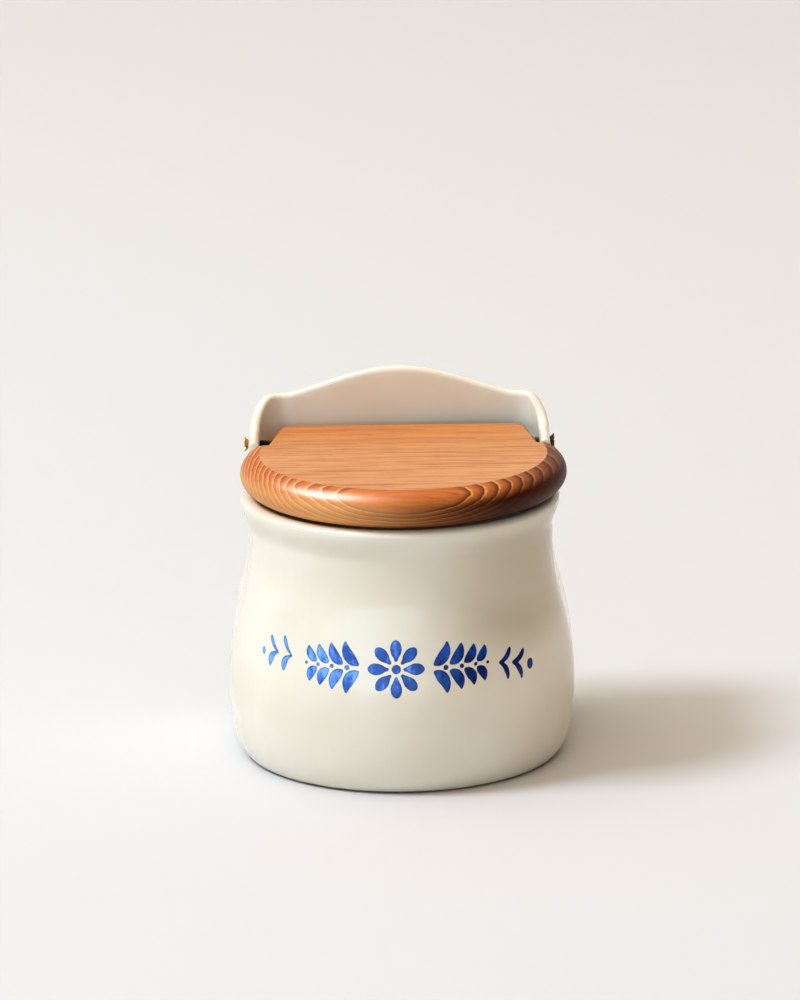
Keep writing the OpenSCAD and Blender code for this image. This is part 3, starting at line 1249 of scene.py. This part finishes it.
@dataclass
class WoodenLid:
    """The wooden lid: a round bullnosed front and a tapered tongue between the cheeks."""

    base_z: float
    middle_x: float
    middle_y: float
    thick: float
    radius: float
    tongue_end: float
    nose_d: float = 0.0079
    nose_crease: float = 14.0
    notch_y: float = 0.015
    tongue_half: float = 0.0552
    tongue_taper: float = 10.0
    tongue_corner: float = 0.009
    tongue_round: float = 0.003
    side_round: float = 0.0009
    axis_y: float = 0.042
    axis_z: float = 0.118
    bore_r: float = 0.00152
    bore_tip: float = 0.0373
    crease: float = 12.0
    nose_rings: int = 45
    arc_steps: int = 110
    notch_steps: int = 9
    corner_steps: int = 14
    side_steps: int = 20
    rear_steps: int = 30

    @classmethod
    def from_frame(cls, middle_y: float) -> "WoodenLid":
        """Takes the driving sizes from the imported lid.

        Args:
            middle_y: Y of the middle of the round front.

        Returns:
            The lid with its sizes.
        """
        low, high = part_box("wood_lid")
        return cls(base_z=low.z, middle_x=(low.x + high.x) / 2, middle_y=middle_y,
                   thick=high.z - low.z, radius=middle_y - low.y, tongue_end=high.y - middle_y)

    def easing(self, z: float, radius: float) -> float:
        """Distance by which an edge of a given radius draws in at a height."""
        deep = max(0.0, radius - min(z, self.thick - z))
        return radius - math.sqrt(max(0.0, radius * radius - deep * deep))

    def outline(self, turn: float) -> Array:
        """Ring of points round the lid at one level.

        Args:
            turn: Angle on the rounded front edge, which sets the level's height.

        Returns:
            The ring, counter-clockwise from the middle of the front.
        """
        full = math.radians(90 - self.nose_crease)
        reach = (math.cos(turn) - math.cos(full)) / (1 - math.cos(full))
        radius = self.radius - self.nose_d + self.nose_d * reach
        z = self.thick / 2 * (1 + math.sin(turn) / math.sin(full))
        side_in, rear_in = self.easing(z, self.side_round), self.easing(z, self.tongue_round)
        notch = self.notch_y - side_in
        angles = np.linspace(-math.pi / 2, math.asin(notch / radius), self.arc_steps)
        arc = np.stack([np.cos(angles), np.sin(angles)], axis=1) * radius
        half = self.tongue_half - side_in
        shoulder = np.linspace(arc[-1], [half, notch], self.notch_steps)[1:]
        taper = math.radians(self.tongue_taper)
        slope = math.tan(taper)
        end_half = self.tongue_half - (self.tongue_end - self.notch_y) * slope
        mid = np.array([end_half + self.tongue_corner * (slope - 1 / math.cos(taper)),
                        self.tongue_end - self.tongue_corner])
        turns = np.linspace(taper, math.pi / 2, self.corner_steps)
        drawn = side_in + (rear_in - side_in) * ease((turns - taper) / (math.pi / 2 - taper))
        reach = (self.tongue_corner - drawn)[:, None]
        corner = mid + np.stack([np.cos(turns), np.sin(turns)], axis=1) * reach
        side = np.linspace(shoulder[-1], corner[0], self.side_steps)[1:-1]
        rear = np.linspace(corner[-1], [0, corner[-1, 1]], self.rear_steps)[1:]
        half_ring = np.vstack([arc, shoulder, side, corner, rear])
        ring = np.vstack([half_ring, half_ring[-2:0:-1] * [-1, 1]])
        return np.column_stack([ring, np.full(len(ring), z)])

    def build(self, wood: CherryFinish) -> bpy.types.Object:
        """Builds and dresses the lid.

        Args:
            wood: Finish of the lid.

        Returns:
            The lid's object.
        """
        full = math.radians(90 - self.nose_crease)
        levels = [self.outline(turn) for turn in np.linspace(-full, full, self.nose_rings)]
        shares = (0.3, 0.6, 0.85, 0.97)
        below = [levels[0] * [s, s, 1] for s in shares]
        above = [levels[-1] * [s, s, 1] for s in reversed(shares)]
        shift = np.array([self.middle_x, self.middle_y, self.base_z])
        rings = [ring + shift for ring in below + levels + above]
        points, faces = closed_grid(rings, tuple(shift), tuple(shift + [0, 0, self.thick]))
        lid = mesh_piece("cherry_lid", points, faces, [wood.dress()])
        reach = 2 * self.radius
        for side in Side:
            start = self.bore_tip if side is Side.RIGHT else -self.bore_tip - reach
            cut(lid, rod("bore", self.bore_r, (start, self.axis_y + self.middle_y, self.axis_z), reach))
        sharpen(lid, self.crease)
        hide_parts("wood_lid")
        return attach(lid, Body.LID.value)


@dataclass
class HingeScrew:
    """A countersunk slotted brass screw that holds the lid to one cheek."""

    side: Side
    head_x: float
    tip_x: float
    axis_y: float
    axis_z: float
    shank_r: float = 0.0015
    head_r: float = 0.003
    head_rim: float = 0.0003
    bevel: float = 0.00012
    plain_len: float = 0.0085
    root_r: float = 0.00108
    pitch: float = 0.0012
    slot_w: float = 0.0008
    slot_deep: float = 0.0007
    slot_turn: float = 25.0
    collar: float = 0.003
    ridge_half: float = 0.24
    crease: float = 35.0
    steps: int = 48

    @classmethod
    def from_frame(cls, side: Side) -> "HingeScrew":
        """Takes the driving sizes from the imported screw.

        Args:
            side: Side of the box.

        Returns:
            The screw with its sizes.
        """
        low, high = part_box(f"hinge_screw_{side.name.lower()}")
        ends = sorted((low.x, high.x), key=abs)
        return cls(side=side, head_x=abs(ends[1]), tip_x=abs(ends[0]),
                   axis_y=(low.y + high.y) / 2, axis_z=(low.z + high.z) / 2)

    def shape(self) -> tuple[Array, Faces]:
        """Skin of the screw along +X from its head's outer face, before the slot is cut.

        Returns:
            The points and the faces.
        """
        length = self.head_x - self.tip_x
        cone_end = self.head_rim + self.head_r - self.shank_r
        turn = np.linspace(0, 2 * np.pi, self.steps, endpoint=False)
        profile = [(0.0, self.head_r * 0.5), (0.0, self.head_r - self.bevel),
                   (self.bevel, self.head_r), (self.head_rim, self.head_r),
                   (self.head_rim + self.bevel, self.head_r - self.bevel),
                   (cone_end, self.shank_r), (cone_end + self.collar, self.shank_r),
                   (self.plain_len, self.shank_r)]
        point, step = length - 2 * self.shank_r, self.pitch / 10
        for x in np.arange(self.plain_len + step, length - step, step):
            wave = np.mod(x / self.pitch - turn / (2 * np.pi), 1)
            ridge = np.clip(1 - np.abs(wave - 0.5) / self.ridge_half, 0, 1)
            fade = min(1.0, (x - self.plain_len) / self.pitch)
            r = self.shank_r + (self.root_r + (self.shank_r - self.root_r) * ridge - self.shank_r) * fade
            profile.append((x, r * min(1.0, (length - x) / (length - point))))
        rings = [np.column_stack([np.full(self.steps, x), r * np.cos(turn), -r * np.sin(turn)])
                 for x, r in profile]
        return closed_grid(rings, (0.0, 0.0, 0.0), (length, 0.0, 0.0))

    def build(self, brass: BrassFinish) -> bpy.types.Object:
        """Builds and dresses the screw.

        Args:
            brass: Finish of the screw.

        Returns:
            The screw's object.
        """
        points, faces = self.shape()
        name = f"brass_screw_{self.side.name.lower()}"
        screw = mesh_piece(name, points, faces, [brass.dress()])
        deep, wide, high = self.slot_deep, self.slot_w / 2, 2 * self.head_r
        corners = np.array([(x, y, z) for x in (-deep, deep) for y in (-high, high)
                            for z in (-wide, wide)])
        box = [(0, 1, 3, 2), (4, 6, 7, 5), (0, 4, 5, 1), (2, 3, 7, 6), (0, 2, 6, 4), (1, 5, 7, 3)]
        cut(screw, mesh_piece("slot", corners, box, []))
        turned = Matrix.Rotation(math.radians(self.slot_turn), 4, "X")
        if self.side is Side.RIGHT:
            turned = Matrix.Rotation(math.pi, 4, "Z") @ turned
        spot = Vector((self.side.value * self.head_x, self.axis_y, self.axis_z))
        screw.data.transform(Matrix.Translation(spot) @ turned)
        sharpen(screw, self.crease)
        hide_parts(f"hinge_screw_{self.side.name.lower()}")
        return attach(screw, Body.LID.value)


@dataclass(frozen=True)
class Glow:
    """A soft glow of the room around one direction, seen only as light."""

    way: Place
    colour: Place
    focus: float
    flat: float

    def add(self, kit: NodeKit, way: Socket, below: Wire) -> Socket:
        """Adds the glow to the light that reaches the scene.

        Args:
            kit: Node kit of the room's light.
            way: Direction that is looked in.
            below: Light so far, as a vector of red, green and blue.

        Returns:
            The light with this glow added.
        """
        towards = kit.math("MAXIMUM", kit.vector("DOT_PRODUCT", way, self.way), 0.0)
        lobe = kit.math("POWER", towards, self.focus)
        height = kit.math("DIVIDE", kit.axes(way)[2], self.flat)
        band = kit.math("EXPONENT", kit.math("MULTIPLY", kit.math("MULTIPLY", height, height), -1.0))
        scaled = kit.node("VectorMath", operation="SCALE")
        kit.feed(scaled.inputs[0], self.colour)
        kit.feed(scaled.inputs["Scale"], kit.math("MULTIPLY", lobe, band))
        return kit.vector("ADD", scaled.outputs[0], below)


@dataclass(frozen=True)
class Studio:
    """Pale floor and backdrop, softboxes at the upper left, the room's soft light and the camera."""

    floor_r: float = 9.0
    floor_steps: int = 96
    lamp_distance: float = 5.0
    key_aim: Pair = (192.0, 53.0)
    key_size: float = 1.3
    key_power: float = 196.0
    key_colour: Place = (0.70, 0.82, 1.0)
    gleam_aim: Pair = (174.0, 59.0)
    gleam_size: float = 2.4
    gleam_power: float = 1400.0
    backdrop_r: float = 4.0
    backdrop_h: float = 1.6
    backdrop_turn: Pair = (26.0, 150.0)
    backdrop_steps: int = 48
    unlit: Place = (0.0, 0.0, 0.0)
    glows: tuple[Glow, ...] = (
        Glow((0.0, 0.0, 1.0), (2.19, 1.76, 1.31), 3.0, 9.0),
        Glow((-0.342, -0.94, 0.0), (2.07, 2.85, 3.50), 3.0, 0.35),
        Glow((0.425, 0.736, 0.53), (0.19, 0.42, 0.59), 8.0, 9.0),
        Glow((-0.425, 0.736, 0.53), (0.07, 0.36, 0.54), 8.0, 9.0),
    )
    camera_distance: float = 2.4
    camera_height: float = 17.6
    camera_tilt: float = 15.19
    camera_roll: float = -0.7
    camera_x: float = -0.00003
    lens: float = 261.7
    sensor_width: float = 36.0
    far_clip: float = 50.0
    print_gamma: float = 0.8

    def floor(self) -> bpy.types.Object:
        """Lays the floor.

        Returns:
            The floor's object.
        """
        turn = np.linspace(0, 2 * np.pi, self.floor_steps, endpoint=False)
        rim = level_ring(turn, self.floor_r)
        floor = mesh_piece("paper_floor", rim, [tuple(range(len(rim)))], [PaperFinish().dress()])
        return floor

    def backdrop(self) -> bpy.types.Object:
        """Stands a curved paper wall round the back, outside the picture.

        Returns:
            The wall's object.
        """
        steps = self.backdrop_steps
        foot = level_ring(np.radians(np.linspace(*self.backdrop_turn, steps)), self.backdrop_r)
        points = np.vstack([foot, foot + [0, 0, self.backdrop_h]])
        faces = [(i, i + 1, steps + i + 1, steps + i) for i in range(steps - 1)]
        wall = mesh_piece("paper_backdrop", points, faces, [PaperFinish().dress()])
        return wall

    def softbox(self, name: str, aim: Pair, size: float, power: float,
                colour: Place) -> bpy.types.Object:
        """Hangs a softbox at the upper left.

        Args:
            name: Name of the lamp.
            aim: Where it hangs, in degrees round from +X and up from the floor.
            size: Side of its square.
            power: Power in watts.
            colour: Colour of its light.

        Returns:
            The lamp.
        """
        data = bpy.data.lights.new(name, "AREA")
        data.shape = "SQUARE"
        data.size = size
        data.energy = power
        data.color = colour
        lamp = bpy.data.objects.new(name, data)
        turn, rise = math.radians(aim[0]), math.radians(aim[1])
        way = Vector((math.cos(rise) * math.cos(turn), math.cos(rise) * math.sin(turn), math.sin(rise)))
        lamp.location = way * self.lamp_distance
        lamp.rotation_euler = way.to_track_quat("Z", "Y").to_euler()
        bpy.context.scene.collection.objects.link(lamp)
        return lamp

    def lamps(self) -> None:
        """Hangs the key softbox, and a wider one beside it that only shows as a gleam."""
        self.softbox("key_softbox", self.key_aim, self.key_size, self.key_power, self.key_colour)
        gleam = self.softbox("gleam_softbox", self.gleam_aim, self.gleam_size, self.gleam_power,
                             (1.0, 1.0, 1.0))
        gleam.visible_diffuse = False

    def room_light(self) -> bpy.types.World:
        """Sets the room's light, brightest overhead and in front, with two faint glows behind.

        Returns:
            The world that holds it.
        """
        world = bpy.data.worlds.new("room")
        world.use_nodes = True
        kit = NodeKit(world.node_tree)
        way = kit.node("TexCoord").outputs["Generated"]
        light: Wire = self.unlit
        for glow in self.glows:
            light = glow.add(kit, way, light)
        kit.feed(kit.tree.nodes["Background"].inputs["Color"], light)
        bpy.context.scene.world = world
        return world

    def camera(self, middle_y: float) -> bpy.types.Object:
        """Sets up the camera.

        Args:
            middle_y: Y of the middle of the crock's round front, which the camera circles.

        Returns:
            The camera's object.
        """
        data = bpy.data.cameras.new("camera")
        data.sensor_fit = "HORIZONTAL"
        data.sensor_width = self.sensor_width
        data.lens = self.lens
        data.clip_end = self.far_clip
        camera = bpy.data.objects.new("camera", data)
        rise, tilt = math.radians(self.camera_height), math.radians(self.camera_tilt)
        spot = Vector((self.camera_x, middle_y - self.camera_distance * math.cos(rise),
                       self.camera_distance * math.sin(rise)))
        turned = Matrix.Rotation(math.pi / 2 - tilt, 4, "X")
        turned = turned @ Matrix.Rotation(math.radians(self.camera_roll), 4, "Z")
        camera.matrix_world = Matrix.Translation(spot) @ turned
        bpy.context.scene.collection.objects.link(camera)
        bpy.context.scene.camera = camera
        view = bpy.context.scene.view_settings
        view.view_transform = "Standard"
        view.gamma = self.print_gamma
        return camera


def report(piece: bpy.types.Object) -> None:
    """Logs a piece with its number of faces."""
    LOG.info("%s: %d faces", piece.name, len(piece.data.polygons))


def corners(box: tuple[Vector, Vector]) -> list[list[float]]:
    """Turns a box into plain lists of numbers."""
    return [list(corner) for corner in box]


def main() -> None:
    """Builds the salt box round its frame."""
    logging.basicConfig(level=logging.INFO, format="%(name)s %(message)s")
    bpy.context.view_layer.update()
    crock = Crock.from_frame()
    studio = Studio()
    studio.camera(crock.middle_y)
    studio.lamps()
    studio.room_light()
    report(studio.floor())
    report(studio.backdrop())
    report(crock.build(GlazeFinish(), ClayFinish()))
    report(WoodenLid.from_frame(crock.middle_y).build(CherryFinish()))
    for side in Side:
        report(HingeScrew.from_frame(side).build(BrassFinish()))


if __name__ == "__main__":
    main()
